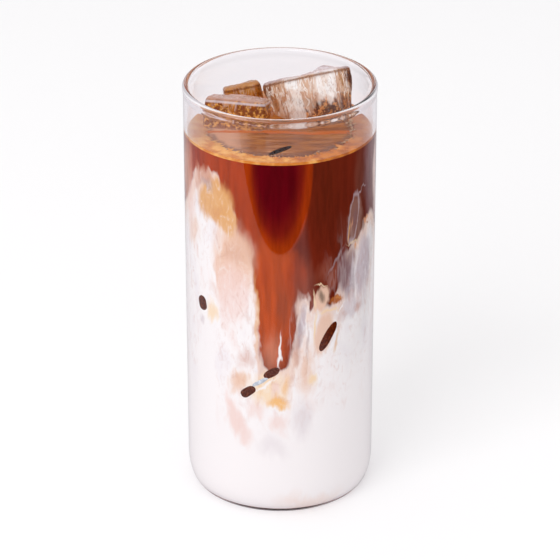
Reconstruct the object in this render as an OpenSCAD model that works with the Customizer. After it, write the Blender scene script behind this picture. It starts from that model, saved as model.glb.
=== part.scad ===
// Iced latte in a tall straight tumbler: the glass, the milk in its foot, the coffee above it,
// the ring of crema on the surface and three ice blocks that stand proud of it.
// Millimetres, +Z up, origin at the middle of the foot. The front is towards -Y.

/* [Glass] */
// Height of the tumbler over the rim
glass_h = 150.5; // [146:0.5:156]
// Outer radius of the wall just under the rim bead
wall_top_r = 33; // [33:0.1:35]
// How much smaller the wall's radius is at the foot
taper = 0.33; // [0:0.01:0.6]
// Thickness of the wall
wall_t = 1.6; // [1.3:0.1:1.8]
// Thickness of the floor
floor_t = 3; // [2.4:0.1:4]
// Radial reach of the rounded foot
foot_reach = 4; // [3:0.1:5]
// Height at which the rounded foot meets the straight wall
foot_rise = 10.8; // [8:0.1:13]
// Depth of the hollow under the foot
punt_depth = 0.6; // [0.3:0.1:1]
// How far the fire-polished bead stands out of the wall
bead_out = 0.25; // [0.1:0.05:0.4]
// How far the bead stands into the mouth
bead_in = 0.35; // [0.1:0.05:0.5]

/* [Drink] */
// Height of the coffee's open surface
liquid_z = 134.2; // [132.5:0.1:135.5]
// Height of the milk between the plumes of coffee, at the wall
milk_top = 114; // [108:0.5:118]
// How far the milk's surface dips in the middle of the glass
milk_dip = 16; // [8:0.5:22]

/* [Crema] */
// Mean width of the ring of crema
crema_w = 6.2; // [4.5:0.1:7.5]
// Height of the crema above the open surface
crema_rise = 0.6; // [0.4:0.1:0.9]
// Depth of the crema below the open surface
crema_sink = 0.6; // [0.4:0.1:0.9]
// Length of the teeth on the ring's inner edge
tooth_len = 1.3; // [0.6:0.1:2]
// Number of teeth round the ring
tooth_count = 31; // [24:1:40]

/* [Ice] */
// Radius of the melted corners
ice_round = 2; // [1.5:0.1:2.4]

/* [Hidden] */

// Wall: the bead's crown and the shoulders that ease it into the wall
bead_half = (wall_t + bead_out + bead_in) / 2;
bead_z = glass_h - bead_half;
shoulder_h = 2.6;
shoulder_steps = 6;
crown_steps = 12;
arc_steps = 9;

// Foot: the outer radius at the table, the hollow and the inner corner
foot_r = wall_top_r - taper;
punt_r = 22;
punt_edge = 1.5;
inner_reach = 5;
inner_rise = 9;

// Plumes of coffee down the wall: [azimuth from the front towards +X, depth, half width in degrees]
plumes = [
    [  1, 62, 23],
    [ 47, 20, 13],
    [ 98, 30, 19],
    [152, 52, 22],
    [212, 34, 20],
    [272, 24, 15],
    [318, 12, 10]
];
region_r = wall_top_r + 2;
region_rings = 4;
region_sides = 48;

// Crema: the slow swell of its inner edge and the points of its outline
crema_swell = 0.9;
outline_steps = 186;

// Ice: [middle of the front top edge, turn, front width, back width, depth, height]
right_block = [[9.2, 11.4, 149.8], [-27, -9, 9], 18, 28, 10, 24];
left_block = [[-15.2, 1.6, 144], [-15, 1, -10], 22, 22, 13, 20];
back_block = [[-13, 19, 142], [-10, -8, 12], 14, 14, 6, 16];

// Outer and inner radius of the straight wall at a height
function wall_r(z) = foot_r + taper * (z - foot_rise) / (glass_h - foot_rise);
function inner_r(z) = wall_r(z) - wall_t;

// Smooth step from 0 to 1
function ease(t) = (1 - cos(180 * t)) / 2;

// Quarter ellipse of a rounded foot, from its flat to its wall
function foot_arc(r, z, reach, rise) = [
    for (i = [0 : arc_steps])
        let (a = 90 * i / arc_steps)
        [r - reach + reach * sin(a), z + rise * (1 - cos(a))]
];

// Shoulder from the straight wall up to the bead's widest point; side is 1 outside, -1 inside
function shoulder(side, reach) = [
    for (i = [0 : shoulder_steps])
        let (z = bead_z - shoulder_h * (1 - i / shoulder_steps))
        [(side > 0 ? wall_r(z) : inner_r(z)) + side * reach * ease(i / shoulder_steps), z]
];

function reversed(list) = [for (i = [len(list) - 1 : -1 : 0]) list[i]];

// Crown of the bead, from its outer side over the top to its inner side
function crown() =
    let (mid = wall_r(bead_z) + bead_out - bead_half)
    [
        for (i = [1 : crown_steps - 1])
            let (a = 180 * i / crown_steps)
            [mid + bead_half * cos(a), bead_z + bead_half * sin(a)]
    ];

function glass_outline() = concat(
    [[0, punt_depth], [punt_r - punt_edge, punt_depth], [punt_r, 0]],
    foot_arc(foot_r, 0, foot_reach, foot_rise),
    shoulder(1, bead_out),
    crown(),
    reversed(shoulder(-1, bead_in)),
    reversed(foot_arc(inner_r(foot_rise), floor_t, inner_reach, inner_rise)),
    [[0, floor_t]]
);

// Space inside the glass up to a height
module inside(top) {
    rotate_extrude($fn = 96)
        polygon(concat(
            [[0, floor_t]],
            foot_arc(inner_r(foot_rise), floor_t, inner_reach, inner_rise),
            [[inner_r(top), top], [0, top]]
        ));
}

// Angle brought into -180 to 180
function turned(a) = a - 360 * round(a / 360);

// Fall of the coffee at an azimuth, all plumes together
function fall(a) =
    let (each_fall = [for (p = plumes) p[1] * exp(-pow(turned(a - p[0]) / p[2], 2))])
    each_fall * [for (p = plumes) 1];

// Height of the milk's surface at a radius and an azimuth
function milk_z(r, a) =
    let (out = min(1, r / inner_r(milk_top)))
    milk_top - milk_dip * (1 - out * out) - fall(a) * pow(out, 1.5);

// Everything below the milk's surface, reaching past the wall
module milk_region() {
    surface_points = [
        for (ring = [1 : region_rings], side = [0 : region_sides - 1])
            let (r = region_r * ring / region_rings, a = 360 * side / region_sides)
            [r * sin(a), -r * cos(a), milk_z(r, a)]
    ];
    floor_points = [
        for (side = [0 : region_sides - 1])
            let (a = 360 * side / region_sides)
            [region_r * sin(a), -region_r * cos(a), 0]
    ];
    points = concat(surface_points, floor_points, [[0, 0, milk_z(0, 0)]]);
    middle = len(points) - 1;
    function at(ring, side) = ring * region_sides + side % region_sides;
    faces = concat(
        [for (s = [0 : region_sides - 1]) [middle, at(0, s + 1), at(0, s)]],
        [
            for (ring = [0 : region_rings - 1], s = [0 : region_sides - 1], half = [0, 1])
                half == 0
                    ? [at(ring, s), at(ring, s + 1), at(ring + 1, s + 1)]
                    : [at(ring, s), at(ring + 1, s + 1), at(ring + 1, s)]
        ],
        [[for (s = [0 : region_sides - 1]) at(region_rings, s)]]
    );
    polyhedron(points = points, faces = faces);
}

// One ice block, a melted tray cube: its back is wider than its front
module ice_block(block) {
    half = [block[2] / 2, block[3] / 2] - [ice_round, ice_round];
    depth = block[4];
    height = block[5];
    translate(block[0])
        rotate(block[1])
            translate([0, 0, -height / 2])
                hull()
                    for (back = [0, 1], side = [-1, 1], up = [-1, 1])
                        translate([
                            side * half[back],
                            ice_round + back * (depth - 2 * ice_round),
                            up * (height / 2 - ice_round)
                        ])
                            sphere(r = ice_round, $fn = 14);
}

module all_ice() {
    ice_block(right_block);
    ice_block(left_block);
    ice_block(back_block);
}

// Inner edge of the crema at an azimuth: a slow swell with short teeth that point inwards
function crema_edge(a) =
    inner_r(liquid_z) - crema_w
    - crema_swell * sin(3 * a + 35)
    - tooth_len * pow(abs(sin(tooth_count * a / 2)), 3);

// Slab of crema out to a radius past the wall, with the ragged hole in its middle
module crema_slab(top) {
    translate([0, 0, liquid_z - crema_sink])
        linear_extrude(top - liquid_z + crema_sink)
            difference() {
                circle(r = region_r, $fn = 96);
                polygon([
                    for (i = [0 : outline_steps - 1])
                        let (a = 360 * i / outline_steps)
                        [crema_edge(a) * sin(a), -crema_edge(a) * cos(a)]
                ]);
            }
}

module glass() {
    color("gainsboro", 0.35)
        rotate_extrude($fn = 96)
            polygon(glass_outline());
}

module milk() {
    color("seashell")
        intersection() {
            inside(liquid_z);
            milk_region();
        }
}

module coffee() {
    color("saddlebrown")
        difference() {
            inside(liquid_z);
            milk_region();
            crema_slab(liquid_z + 1);
            all_ice();
        }
}

module crema() {
    color("burlywood")
        difference() {
            intersection() {
                inside(liquid_z + crema_rise);
                crema_slab(liquid_z + crema_rise);
            }
            all_ice();
        }
}

module ice_right() {
    color("lavender", 0.5) ice_block(right_block);
}

module ice_left() {
    color("lavender", 0.5) ice_block(left_block);
}

module ice_back() {
    color("lavender", 0.5) ice_block(back_block);
}

glass();
milk();
coffee();
crema();
ice_right();
ice_left();
ice_back();
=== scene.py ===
import logging
import math
from dataclasses import dataclass
from enum import Enum
from functools import partial

import bpy
import bmesh
from mathutils import Euler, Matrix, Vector, noise


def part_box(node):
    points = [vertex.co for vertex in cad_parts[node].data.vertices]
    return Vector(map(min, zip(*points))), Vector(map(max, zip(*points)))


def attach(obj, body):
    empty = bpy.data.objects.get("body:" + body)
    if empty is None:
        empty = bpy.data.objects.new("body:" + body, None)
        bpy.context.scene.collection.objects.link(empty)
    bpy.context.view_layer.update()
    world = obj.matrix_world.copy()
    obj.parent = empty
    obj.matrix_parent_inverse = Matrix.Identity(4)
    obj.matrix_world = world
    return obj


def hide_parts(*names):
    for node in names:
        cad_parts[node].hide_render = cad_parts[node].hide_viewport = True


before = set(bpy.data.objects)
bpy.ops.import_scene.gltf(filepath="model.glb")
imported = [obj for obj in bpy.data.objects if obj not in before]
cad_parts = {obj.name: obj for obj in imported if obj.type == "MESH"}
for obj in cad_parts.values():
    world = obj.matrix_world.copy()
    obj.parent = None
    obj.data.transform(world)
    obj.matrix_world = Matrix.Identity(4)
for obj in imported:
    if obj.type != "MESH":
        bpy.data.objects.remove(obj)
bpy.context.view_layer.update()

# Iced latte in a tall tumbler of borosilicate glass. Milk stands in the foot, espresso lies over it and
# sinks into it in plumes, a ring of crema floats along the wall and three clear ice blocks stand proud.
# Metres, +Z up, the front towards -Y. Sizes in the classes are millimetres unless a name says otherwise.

MM = 0.001
WELD_MM = 0.001
TAU = math.tau
# How far over the middle of the glass the camera looks, in millimetres
AIM_OVER_MIDDLE = 0.85
# Room between the ice and the wall, in millimetres
ICE_TO_WALL = 0.5
# A ray that has met this many clear surfaces goes straight on through the rest
LAST_BENT_DEPTH = 3.5
log = logging.getLogger("iced_latte")

# (radius, height) points of a section, in millimetres
Outline = list[tuple[float, float]]

# A place or a push in millimetres
Point = tuple[float, float, float]

# A colour socket takes either of these
Colour = tuple[float, float, float, float] | bpy.types.NodeSocket

# Types of the nodes used most
MATH = "ShaderNodeMath"
VECTOR = "ShaderNodeVectorMath"
SPAN = "ShaderNodeMapRange"
MIX = "ShaderNodeMix"
NOISE = "ShaderNodeTexNoise"
AXES = "ShaderNodeSeparateXYZ"
RAMP = "ShaderNodeValToRGB"
PRINCIPLED = "ShaderNodeBsdfPrincipled"
SMOOTH = {"interpolation_type": "SMOOTHSTEP"}


class Slot(Enum):
    """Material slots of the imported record."""

    GLASS = "glass"
    MILK = "milk"
    COFFEE = "coffee"
    CREMA = "crema"
    ICE = "ice"


# ---------------------------------------------------------------- helpers


def linear(hex_colour: str, alpha: float = 1.0) -> tuple[float, float, float, float]:
    """Turns an sRGB hex colour into linear numbers.

    Args:
        hex_colour: six hex digits, such as "F4EDE6".
        alpha: the fourth number.

    Returns:
        Linear red, green, blue and alpha.
    """
    parts = [int(hex_colour[i : i + 2], 16) / 255 for i in (0, 2, 4)]
    low = [c / 12.92 if c <= 0.04045 else ((c + 0.055) / 1.055) ** 2.4 for c in parts]
    return low[0], low[1], low[2], alpha


def add_node(
    tree: bpy.types.NodeTree,
    kind: str,
    inputs: dict | None = None,
    stops: list[tuple[float, str]] | None = None,
    **settings,
) -> bpy.types.Node:
    """Adds a node with its settings and links.

    Args:
        tree: the node tree.
        kind: the node's type name.
        inputs: for each input's name or number, a value, a socket, or a node whose first output is used.
        stops: on a colour ramp, its places and sRGB hex colours, smooth between them.
        **settings: the node's own properties.

    Returns:
        The new node.
    """
    made = tree.nodes.new(kind)
    for name, value in settings.items():
        setattr(made, name, value)
    for key, value in (inputs or {}).items():
        socket = made.inputs[key]
        if isinstance(value, bpy.types.Node):
            value = value.outputs[0]
        if isinstance(value, bpy.types.NodeSocket):
            tree.links.new(value, socket)
        else:
            socket.default_value = value
    if stops:
        made.color_ramp.interpolation = "EASE"
        elements = made.color_ramp.elements
        while len(elements) > 1:
            elements.remove(elements[-1])
        elements[0].position, elements[0].color = stops[0][0], linear(stops[0][1])
        for place, colour in stops[1:]:
            elements.new(place).color = linear(colour)
    return made


def mesh_piece(name: str, points: list, faces: list, smooth_angle: float = 40.0) -> bpy.types.Object:
    """Makes an object at the origin from points in millimetres.

    Args:
        name: the piece's name.
        points: its points, in millimetres.
        faces: lists of point numbers, counted so that they face outwards.
        smooth_angle: edges sharper than this, in degrees, stay sharp.

    Returns:
        The linked object.
    """
    mesh = bpy.data.meshes.new(name)
    mesh.from_pydata([tuple(c * MM for c in p) for p in points], [], faces)
    mesh.validate()
    mesh.polygons.foreach_set("use_smooth", [True] * len(mesh.polygons))
    mesh.set_sharp_from_angle(angle=math.radians(smooth_angle))
    piece = bpy.data.objects.new(name, mesh)
    bpy.context.scene.collection.objects.link(piece)
    return piece


def shaped(piece: bpy.types.Object, tree: bpy.types.GeometryNodeTree, values: dict) -> bpy.types.Object:
    """Replaces a piece's mesh by what a geometry tree makes of it.

    Args:
        piece: the object whose mesh is the tree's first input.
        tree: the tree.
        values: the value of each of its other inputs, by name.

    Returns:
        The same object, with a plain mesh and no modifier.
    """
    modifier = piece.modifiers.new(tree.name, "NODES")
    modifier.node_group = tree
    for item in tree.interface.items_tree:
        if item.item_type == "SOCKET" and item.in_out == "INPUT" and item.name in values:
            modifier[item.identifier] = values[item.name]
    graph = bpy.context.evaluated_depsgraph_get()
    made = bpy.data.meshes.new_from_object(piece.evaluated_get(graph))
    made.name = piece.name
    piece.modifiers.clear()
    piece.data = made
    return piece


def new_tree(
    name: str, inputs: dict[str, str]
) -> tuple[bpy.types.GeometryNodeTree, bpy.types.NodeOutputs]:
    """An empty geometry tree that gives back one mesh.

    Args:
        name: the tree's name.
        inputs: its inputs' names and socket types, the mesh it works on first.

    Returns:
        The tree, and the outputs of the node that gives its inputs.
    """
    tree = bpy.data.node_groups.new(name, "GeometryNodeTree")
    for label, kind in inputs.items():
        tree.interface.new_socket(label, in_out="INPUT", socket_type=kind)
    tree.interface.new_socket("Mesh", in_out="OUTPUT", socket_type="NodeSocketGeometry")
    return tree, add_node(tree, "NodeGroupInput").outputs


def lathe_tree() -> bpy.types.GeometryNodeTree:
    """A lathe: a circle carries the outline round the Z axis, and its ends are welded on the axis.

    Returns:
        The tree.
    """
    tree, given = new_tree(
        "lathe",
        {
            "Outline": "NodeSocketGeometry",
            "Steps": "NodeSocketInt",
            "Circle radius": "NodeSocketFloat",
            "Weld distance": "NodeSocketFloat",
            "Finish": "NodeSocketMaterial",
        },
    )
    section = add_node(tree, "GeometryNodeMeshToCurve", {"Mesh": given["Outline"]})
    circle = add_node(
        tree,
        "GeometryNodeCurvePrimitiveCircle",
        {"Resolution": given["Steps"], "Radius": given["Circle radius"]},
        mode="RADIUS",
    )
    upright = {"Curve": circle.outputs["Curve"]}
    upright = add_node(tree, "GeometryNodeSetCurveNormal", upright, mode="Z_UP")
    swept = add_node(tree, "GeometryNodeCurveToMesh", {"Curve": upright, "Profile Curve": section})
    welded = add_node(
        tree, "GeometryNodeMergeByDistance", {"Geometry": swept, "Distance": given["Weld distance"]}
    )
    outward = add_node(tree, "GeometryNodeFlipFaces", {"Mesh": welded})
    smooth = add_node(tree, "GeometryNodeSetShadeSmooth", {0: outward})
    real = add_node(tree, "GeometryNodeRealizeInstances", {"Geometry": smooth})
    dressed = add_node(tree, "GeometryNodeSetMaterial", {"Geometry": real, "Material": given["Finish"]})
    add_node(tree, "NodeGroupOutput", {0: dressed})
    return tree


def revolve(
    name: str,
    outline: Outline,
    steps: int,
    finish: bpy.types.Material,
    smooth_angle: float = 40.0,
) -> bpy.types.Object:
    """Turns an outline of (radius, height) points round the Z axis into a closed mesh.

    Args:
        name: the piece's name.
        outline: points from one end on the axis to the other, with the outside on the right hand.
        steps: how many steps go round.
        finish: the material of the whole piece.
        smooth_angle: edges sharper than this, in degrees, stay sharp.

    Returns:
        The linked object.
    """
    # The outline is drawn from the circle that carries it, so the circle's size cancels out
    circle_r = 20.0
    mesh = bpy.data.meshes.new(name)
    spots = [((radius - circle_r) * MM, -height * MM, 0.0) for radius, height in outline]
    mesh.from_pydata(spots, [(i, i + 1) for i in range(len(spots) - 1)], [])
    piece = bpy.data.objects.new(name, mesh)
    bpy.context.scene.collection.objects.link(piece)
    values = {
        "Steps": steps,
        "Circle radius": circle_r * MM,
        "Weld distance": WELD_MM * MM,
        "Finish": finish,
    }
    shaped(piece, lathe_tree(), values)
    piece.data.set_sharp_from_angle(angle=math.radians(smooth_angle))
    return piece


def hand_over(piece: bpy.types.Object, slot: Slot, *nodes: str) -> None:
    """Lets a piece ride on the one body, logs its slot, and hides the CAD nodes that it stands for.

    Args:
        piece: the finished piece.
        slot: its slot.
        *nodes: the CAD nodes, if any.
    """
    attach(piece, "root")
    if nodes:
        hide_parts(*nodes)
    log.info("%s: %d faces, slot %s", piece.name, len(piece.data.polygons), slot.value)


def new_material(name: str) -> tuple[bpy.types.Material, bpy.types.NodeTree]:
    """An empty node material and its tree.

    Args:
        name: the material's name.

    Returns:
        The material and its tree.
    """
    made = bpy.data.materials.new(name)
    made.use_nodes = True
    made.node_tree.nodes.clear()
    return made, made.node_tree


def place_in_mm(tree: bpy.types.NodeTree) -> bpy.types.Node:
    """A node whose first output is the point's own place in millimetres."""
    here = add_node(tree, "ShaderNodeTexCoord")
    return add_node(tree, VECTOR, {0: here.outputs["Object"], "Scale": 1 / MM}, operation="SCALE")


# ---------------------------------------------------------------- finishes


@dataclass(frozen=True)
class BorosilicateGlass:
    """Blown borosilicate glass: clear with a faint mauve cast, mirror-smooth, with a few wipe marks."""

    tint: str = "FAF7FA"
    ior: float = 1.47
    smooth: float = 0.0
    wiped: float = 0.03
    wipe_mm: float = 26.0

    def make(self) -> bpy.types.Material:
        """Builds the material.

        Returns:
            The material.
        """
        made, tree = new_material("borosilicate_glass")
        wipe = {"Vector": place_in_mm(tree), "Scale": 1 / self.wipe_mm, "Detail": 3.0}
        span = {"From Min": 0.5, "From Max": 0.8, "To Min": self.smooth, "To Max": self.wiped}
        rough = add_node(tree, SPAN, {"Value": add_node(tree, NOISE, wipe)} | span)
        look = {
            "Base Color": linear(self.tint),
            "Transmission Weight": 1.0,
            "IOR": self.ior,
            "Roughness": rough,
        }
        glass = add_node(tree, PRINCIPLED, look)
        let_lamps_through(tree, glass, "FEFDFE")
        return made


def let_lamps_through(tree: bpy.types.NodeTree, shader: bpy.types.Node, tint: str) -> None:
    """Ends a clear material so that shadow rays, diffuse rays and rays long caught in it pass unbent.

    Args:
        tree: the material's tree.
        shader: the clear surface.
        tint: the sRGB hex colour that the rays which pass take on.
    """
    clear = add_node(tree, "ShaderNodeBsdfTransparent", {"Color": linear(tint)})
    path = add_node(tree, "ShaderNodeLightPath").outputs
    either = {0: path["Is Shadow Ray"], 1: path["Is Diffuse Ray"]}
    either = add_node(tree, MATH, either, operation="MAXIMUM")
    caught = {0: path["Ray Depth"], 1: LAST_BENT_DEPTH}
    caught = add_node(tree, MATH, caught, operation="GREATER_THAN")
    either = add_node(tree, MATH, {0: either, 1: caught}, operation="MAXIMUM")
    mixed = add_node(tree, "ShaderNodeMixShader", {0: either, 1: shader, 2: clear})
    add_node(tree, "ShaderNodeOutputMaterial", {"Surface": mixed})


@dataclass(frozen=True)
class Grain:
    """How one block of ice is coloured.

    bands are the clear and frost-white bands across it, as the water froze, each a place in millimetres and
    an sRGB hex colour; the white ones are frost and painted highlights at once. top and edge colour the
    flat top and the line where it turns over, deep the coffee film and painted_glint the painted highlights
    glinting in it; the film is full below deep_to and gone above deep_from, in millimetres from the top,
    and ends at deep_left across the block. milky is the share that doesn't let light through, and
    frost_and_highlight how strong the white threads are, which are frost and painted highlights at once.
    """

    bands: tuple[tuple[float, str], ...]
    top: str
    edge: str
    deep: str
    painted_glint: str
    deep_from: float
    deep_to: float
    milky: float
    frost_and_highlight: float = 0.85
    deep_left: float = -20.0


@dataclass(frozen=True)
class ClearIce:
    """Clear ice, wet and half melted, stained by coffee from below.

    Dents bend what lies behind it, frost-white bands run up and down through it, fine trapped threads cross
    them, and near the drink the coffee film makes it amber. The white bands and threads are frost and
    painted highlights at once, and the bright glints in the amber are painted highlights.
    """

    grain: Grain
    ior: float = 1.31
    sway_mm: float = 1.7
    dent_mm: float = 3.2
    flute_mm: float = 1.1
    depth_mm: float = 0.5
    painted_glint_mm: float = 1.3
    turned_over_mm: float = 1.7

    def threads(
        self, tree: bpy.types.NodeTree, upright: bpy.types.Node, size: float, middle: float, half: float
    ) -> bpy.types.Node:
        """Trapped threads: the crests of a noise drawn out upright.

        Args:
            tree: the node tree.
            upright: the place in the block, drawn out along its height.
            size: how far apart they lie in millimetres.
            middle: the noise's value on a crest.
            half: how far from that value a crest ends.

        Returns:
            The node whose first output is 1 on a crest and 0 beside it.
        """
        waves = add_node(
            tree,
            NOISE,
            {"Vector": upright, "Scale": 1 / size, "Detail": 3.0, "Roughness": 0.55, "Distortion": 0.8},
        )
        off = add_node(tree, MATH, {0: waves, 1: middle}, operation="SUBTRACT")
        off = add_node(tree, MATH, {0: off}, operation="ABSOLUTE")
        span = {"Value": off, "From Min": 0.0, "From Max": half, "To Min": 1.0, "To Max": 0.0}
        return add_node(tree, SPAN, span, **SMOOTH)

    def banded(
        self, tree: bpy.types.NodeTree, upright: bpy.types.Node, across: bpy.types.Node
    ) -> bpy.types.NodeSocket:
        """The block's upright bands, fine dark threads, and white threads of frost and painted highlight.

        Args:
            tree: the node tree.
            upright: the place in the block, drawn out along its height.
            across: the place across the block in millimetres.

        Returns:
            The colour.
        """
        add = partial(add_node, tree)
        first, last = self.grain.bands[0][0], self.grain.bands[-1][0]
        share = add(SPAN, {"Value": across, "From Min": first, "From Max": last})
        stops = [((x - first) / (last - first), tone) for x, tone in self.grain.bands]
        colour = add(RAMP, {0: share}, stops).outputs[0]
        fine = add(MATH, {0: self.threads(tree, upright, 1.3, 0.5, 0.03), 1: 0.55}, operation="MULTIPLY")
        colour = add(MIX, {0: fine, 6: colour, 7: linear(self.grain.edge)}, data_type="RGBA").outputs[2]
        # White threads: frost, and painted highlights as well
        bright = self.threads(tree, upright, 2.4, 0.56, 0.045)
        bright = add(MATH, {0: bright, 1: self.grain.frost_and_highlight}, operation="MULTIPLY")
        return add(MIX, {0: bright, 6: colour, 7: linear("FFFFFF")}, data_type="RGBA").outputs[2]

    def filmed(
        self,
        tree: bpy.types.NodeTree,
        colour: bpy.types.NodeSocket,
        block: bpy.types.Node,
        drift: bpy.types.Node,
        across: bpy.types.Node,
    ) -> bpy.types.NodeSocket:
        """Lays the coffee film low on the block: a ragged amber zone with bright glints of painted
        highlight.

        Args:
            tree: the node tree.
            colour: the colour under the film.
            block: the place in the block.
            drift: a slow noise that makes the zone ragged.
            across: the place across the block in millimetres.

        Returns:
            The colour with the film over it.
        """
        add = partial(add_node, tree)
        span = {"Value": drift, "From Min": 0.3, "From Max": 0.7, "To Min": -3.4, "To Max": 3.4}
        ragged = add(SPAN, span, **SMOOTH)
        low = add(MATH, {0: add(AXES, {0: block}).outputs["Z"], 1: ragged}, operation="ADD")
        # Painted highlights: bright glints speckled over the amber film
        speck = add(NOISE, {"Vector": block, "Scale": 1 / self.painted_glint_mm, "Detail": 5.0, "Roughness": 0.7})
        glints = add(SPAN, {"Value": speck, "From Min": 0.49, "From Max": 0.6}, **SMOOTH)
        deep, painted_glint = linear(self.grain.deep), linear(self.grain.painted_glint)
        film = add(MIX, {0: glints, 6: deep, 7: painted_glint}, data_type="RGBA").outputs[2]
        span = {"Value": low, "From Min": self.grain.deep_to, "From Max": self.grain.deep_from}
        zone = add(SPAN, span | {"To Min": 0.92, "To Max": 0.0}, **SMOOTH)
        left = self.grain.deep_left
        beyond = add(SPAN, {"Value": across, "From Min": left - 1.5, "From Max": left + 0.5}, **SMOOTH)
        zone = add(MATH, {0: zone, 1: beyond}, operation="MULTIPLY")
        return add(MIX, {0: zone, 6: colour, 7: film}, data_type="RGBA").outputs[2]

    def make(self, corner: Vector, turn: tuple[float, float, float], level: float) -> bpy.types.Material:
        """Builds the material.

        Args:
            corner: the middle of the block's upper front edge, in millimetres.
            turn: how the block is turned, in degrees about X, Y and Z.
            level: the height of the drink's surface in millimetres.

        Returns:
            The material.
        """
        made, tree = new_material("clear_ice")
        add = partial(add_node, tree)
        here = place_in_mm(tree)
        block = add(
            "ShaderNodeMapping",
            {"Vector": here, "Location": corner, "Rotation": [math.radians(t) for t in turn]},
            vector_type="TEXTURE",
        )
        upright = add(VECTOR, {0: block, 1: (1, 1, 0.28)}, operation="MULTIPLY")
        axes = add(AXES, {0: block}).outputs
        drift = add(NOISE, {"Vector": upright, "Scale": 1 / self.dent_mm, "Detail": 3.0})
        span = {"From Min": 0.25, "From Max": 0.75, "To Min": -self.sway_mm, "To Max": self.sway_mm}
        sway = add(SPAN, {"Value": drift} | span, **SMOOTH)
        across = add(MATH, {0: axes["X"], 1: sway}, operation="ADD")
        colour = self.banded(tree, upright, across)
        colour = self.filmed(tree, colour, block, drift, across)

        # Under the surface the block takes the drink's brown
        height = add(AXES, {0: here}).outputs["Z"]
        span = {"Value": height, "From Min": level - 1.0, "From Max": level + 1.5}
        drowned = add(SPAN, span | {"To Min": 0.85, "To Max": 0.0}, **SMOOTH)
        colour = add(MIX, {0: drowned, 6: colour, 7: linear("B88A6C")}, data_type="RGBA").outputs[2]

        # The flat top, with a bright line where it turns over
        top = add(SPAN, {"Value": axes["Z"], "From Min": -1.5, "From Max": -0.5}, **SMOOTH)
        colour = add(MIX, {0: top, 6: colour, 7: linear(self.grain.top)}, data_type="RGBA").outputs[2]
        rim = add(MATH, {0: axes["Z"], 1: self.turned_over_mm}, operation="ADD")
        rim = add(MATH, {0: rim}, operation="ABSOLUTE")
        span = {"Value": rim, "From Min": 0.15, "From Max": 0.6, "To Min": 0.8, "To Max": 0.0}
        rim = add(SPAN, span, **SMOOTH)
        colour = add(MIX, {0: rim, 6: colour, 7: linear(self.grain.edge)}, data_type="RGBA").outputs[2]

        flutes = add(NOISE, {"Vector": upright, "Scale": 1 / self.flute_mm, "Detail": 2.0})
        dents = add(MATH, {0: flutes, 1: 0.5, 2: drift}, operation="MULTIPLY_ADD")
        bump = add("ShaderNodeBump", {"Height": dents, "Strength": 0.9, "Distance": self.depth_mm * MM})
        look = {
            "Base Color": colour,
            "Transmission Weight": 1.0 - self.grain.milky,
            "IOR": self.ior,
            "Roughness": 0.02,
            "Normal": bump,
        }
        let_lamps_through(tree, add(PRINCIPLED, look), "FFF6EE")
        return made


@dataclass(frozen=True)
class IceOverCoffee:
    """A wet ice edge pressed to the glass: the eye looks through it into coffee, so it is dark."""

    dark: str
    light: str

    def make(self) -> bpy.types.Material:
        """Builds the material.

        Returns:
            The material.
        """
        made, tree = new_material("clear_ice_over_coffee")
        grain = add_node(
            tree, NOISE, {"Vector": place_in_mm(tree), "Scale": 1 / 0.9, "Detail": 3.0}
        )
        colour = add_node(tree, RAMP, {0: grain}, [(0.4, self.dark), (0.72, self.light)])
        surface = add_node(
            tree, PRINCIPLED, {"Base Color": colour, "Roughness": 0.35, "Specular IOR Level": 0.0}
        )
        add_node(tree, "ShaderNodeOutputMaterial", {"Surface": surface})
        return made


class Tone(Enum):
    """Named colours of milk and coffee in their mixtures, as sRGB hex."""

    GARNET = "58020C"
    WINE = "7A1A0C"
    RUST = "9C3204"
    DARK_BROWN = "541A0A"
    BROWN = "671F0E"
    RED_BROWN = "A03608"
    ORANGE_BROWN = "B0440E"
    MAUVE_BROWN = "8E4836"
    ROSE = "C68C74"
    AMBER = "D08A4E"
    TAN = "DCA466"
    CREAM = "F1D5AE"
    APRICOT = "EFBC7C"
    BEIGE = "E6C0A8"
    PINK = "ECCFC6"
    MAUVE = "7E5C5E"
    MAUVE_GREY = "AC9CA2"
    PALE_GREY = "C6B8BE"
    TAUPE = "8A6054"
    UMBER = "6E4034"
    SMOKE = "867060"
    PEACH = "DA9C78"
    COPPER = "A85C2A"
    COOL_WHITE = "DDD4DC"
    MILK = "F4F1F0"


class Sector(Enum):
    """Parts of the drink's side, from one azimuth to the next in degrees; each has a finish of its own."""

    LEFT = (-90.0, -9.0)
    MIDDLE = (-9.0, 24.75)
    RIGHT = (24.75, 90.0)
    BACK = (90.0, 270.0)


@dataclass(frozen=True)
class Veil:
    """A soft patch on the drink's side.

    azimuth and half_width are degrees round the glass, height and half_height millimetres, lean is the tilt
    of the patch's long axis in degrees (positive leans its top to the right), core is the share of the
    radius that is fully covered, and a ring draws only the patch's outline.
    """

    tone: Tone
    azimuth: float
    height: float
    half_width: float
    half_height: float
    lean: float = 0.0
    cover: float = 1.0
    core: float = 0.3
    ring: float = 0.0

    def reaches(self, sector: Sector, wall_r: float, drag: float) -> bool:
        """Whether any of the veil can lie in a sector.

        Args:
            sector: the part of the side.
            wall_r: the side's radius in millimetres.
            drag: how far the liquids carry a veil round the glass, in degrees.

        Returns:
            True where it can.
        """
        lean = math.radians(self.lean)
        upright = math.degrees(self.half_height / wall_r) * math.sin(lean)
        reach = math.hypot(self.half_width * math.cos(lean), upright) * (1 + self.ring) + drag
        low, high = sector.value
        turns = (self.azimuth - 360, self.azimuth, self.azimuth + 360)
        return any(low - reach < a < high + reach for a in turns)


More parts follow.
